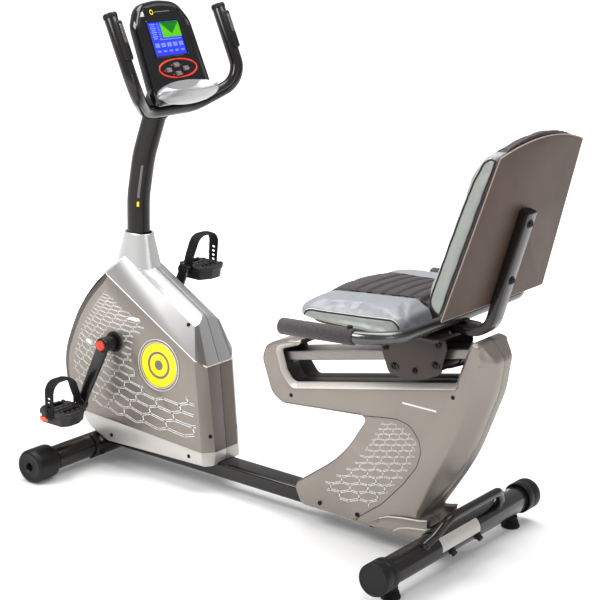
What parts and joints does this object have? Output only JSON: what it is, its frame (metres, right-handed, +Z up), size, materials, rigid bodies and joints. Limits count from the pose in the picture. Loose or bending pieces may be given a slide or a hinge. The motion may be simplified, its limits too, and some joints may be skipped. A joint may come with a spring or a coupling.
{
  "type": "recumbent exercise bike",
  "caption": "Recumbent exercise bike with a sliding cushioned seat, backrest, console, handlebar and belt-driven cranks with strapped pedals.",
  "frame": {"origin": "centre of the bike's footprint, on the floor", "axes": "+Z up, +X towards the backrest, -Y the rider's left; the bike is symmetric about Y = 0 except for the cranks, the lock lever and the socket"},
  "size_m": [1.2383, 0.64, 1.1227],
  "materials": {
    "black_paint": "gloss",
    "taupe": "satin",
    "silver": "satin",
    "black_plastic": "satin",
    "rubber": "matte",
    "bare_steel": "satin",
    "rail": "satin",
    "plate_paint": "satin",
    "tube_paint": "gloss",
    "console": "satin",
    "lens": "gloss",
    "vinyl": "satin",
    "board": "matte",
    "foam": "matte",
    "key": "satin"
  },
  "bodies": {
    "base": {"main_beam": "black_paint", "front_stabiliser": "black_paint", "front_saddle": "black_paint", "rear_stabiliser": "black_paint", "rear_saddle": "black_paint", "rear_cap_left": "black_plastic", "rear_cap_right": "black_plastic", "lifting_handle": "black_paint", "rear_frame": "black_paint", "seat_rail": "rail", "top_cover": "silver", "casing_left": "taupe", "casing_right": "taupe", "base_skirt": "silver", "post_boot": "silver", "power_inlet": "black_plastic", "drive_frame": "black_paint", "flywheel_axle": "bare_steel", "drive_belt": "rubber", "console_post": "black_paint", "handlebar": "black_paint", "pulse_grip_left": "black_plastic", "pulse_grip_right": "black_plastic", "console_housing": "console", "lcd_lens": "lens", "console_tray": "silver", "rear_casing_left": "taupe", "rear_casing_right": "taupe"},
    "crank": {"crank_axle": "bare_steel", "drive_pulley": "black_plastic", "crank_arm_left": "black_paint", "crank_arm_right": "black_paint"},
    "pedal_l": {"pedal_left": "black_plastic", "pedal_strap_left": "rubber"},
    "pedal_r": {"pedal_right": "black_plastic", "pedal_strap_right": "rubber"},
    "flywheel_set": {"flywheel": "bare_steel"},
    "brake": {"magnet_bracket": "plate_paint"},
    "seat": {"carriage_plate_left": "plate_paint", "carriage_plate_right": "plate_paint", "seat_frame": "plate_paint", "seat_board": "board", "seat_cushion": "vinyl", "backrest_cushion": "vinyl", "back_board": "board", "backrest_bracket": "plate_paint", "seat_handle": "tube_paint", "seat_grip_left": "foam", "seat_grip_right": "foam"},
    "lever": {"seat_lever": "black_plastic"},
    "carriage_front": {"carriage_roller_front": "black_plastic"},
    "carriage_rear": {"carriage_roller_rear": "black_plastic"},
    "roller_l": {"transport_roller_left": "black_plastic"},
    "roller_r": {"transport_roller_right": "black_plastic"},
    "foot_l": {"levelling_foot_left": "rubber"},
    "foot_r": {"levelling_foot_right": "rubber"},
    "key_start": {"start_key": "key"},
    "key_mode": {"mode_key": "key"},
    "key_up": {"up_key": "key"},
    "key_down": {"down_key": "key"}
  },
  "joints": [
    {"name": "crank_spin", "type": "hinge", "parent": "base", "child": "crank", "pos_m": [-0.4515, 0, 0.316], "axis": [0, 1, 0], "continuous": true},
    {"name": "pedal_left_spin", "type": "hinge", "parent": "crank", "child": "pedal_l", "pos_m": [-0.50147, -0.19, 0.164], "axis": [0, 1, 0], "continuous": true},
    {"name": "pedal_right_spin", "type": "hinge", "parent": "crank", "child": "pedal_r", "pos_m": [-0.40153, 0.19, 0.468], "axis": [0, 1, 0], "continuous": true},
    {"name": "flywheel_spin", "type": "hinge", "parent": "base", "child": "flywheel_set", "pos_m": [-0.3005, 0, 0.215], "axis": [0, 1, 0], "continuous": true},
    {"name": "brake_swing", "type": "hinge", "parent": "base", "child": "brake", "pos_m": [-0.3675, 0, 0.309], "axis": [0, 1, 0], "range_deg": [-6, 0]},
    {"name": "seat_slide", "type": "slide", "parent": "base", "child": "seat", "axis": [0.9766, 0, 0.2152], "range_m": [-0.16, 0.02]},
    {"name": "lever_pull", "type": "hinge", "parent": "seat", "child": "lever", "pos_m": [0.3625, 0.06, 0.47], "axis": [0, 1, 0], "range_deg": [0, 15], "stiffness_Nm_per_rad": 2, "springref_deg": -20.05},
    {"name": "carriage_roller_front_spin", "type": "hinge", "parent": "seat", "child": "carriage_front", "pos_m": [0.33434, 0, 0.42023], "axis": [0, 1, 0], "range_deg": [-110, 840]},
    {"name": "carriage_roller_rear_spin", "type": "hinge", "parent": "seat", "child": "carriage_rear", "pos_m": [0.43493, 0, 0.4424], "axis": [0, 1, 0], "range_deg": [-110, 840]},
    {"name": "transport_roller_left_spin", "type": "hinge", "parent": "base", "child": "roller_l", "pos_m": [-0.5205, -0.246, 0.04], "axis": [0, 1, 0], "continuous": true},
    {"name": "transport_roller_right_spin", "type": "hinge", "parent": "base", "child": "roller_r", "pos_m": [-0.5205, 0.246, 0.04], "axis": [0, 1, 0], "continuous": true},
    {"name": "foot_left_screw", "type": "slide", "parent": "base", "child": "foot_l", "axis": [0, 0, 1], "range_m": [-0.012, 0]},
    {"name": "foot_right_screw", "type": "slide", "parent": "base", "child": "foot_r", "axis": [0, 0, 1], "range_m": [-0.012, 0]},
    {"name": "start_press", "type": "slide", "parent": "base", "child": "key_start", "axis": [-0.9135, 0, -0.4067], "range_m": [0, 0.001], "stiffness_N_per_m": 300, "springref_m": -0.001},
    {"name": "mode_press", "type": "slide", "parent": "base", "child": "key_mode", "axis": [-0.9135, 0, -0.4067], "range_m": [0, 0.001], "stiffness_N_per_m": 300, "springref_m": -0.001},
    {"name": "up_press", "type": "slide", "parent": "base", "child": "key_up", "axis": [-0.9135, 0, -0.4067], "range_m": [0, 0.001], "stiffness_N_per_m": 300, "springref_m": -0.001},
    {"name": "down_press", "type": "slide", "parent": "base", "child": "key_down", "axis": [-0.9135, 0, -0.4067], "range_m": [0, 0.001], "stiffness_N_per_m": 300, "springref_m": -0.001}
  ],
  "couplings": [
    {"joint": "flywheel_spin", "follows": "crank_spin", "ratio": 6},
    {"joint": "carriage_roller_front_spin", "follows": "seat_slide", "rad_per_m": -90.909},
    {"joint": "carriage_roller_rear_spin", "follows": "seat_slide", "rad_per_m": -90.909}
  ]
}
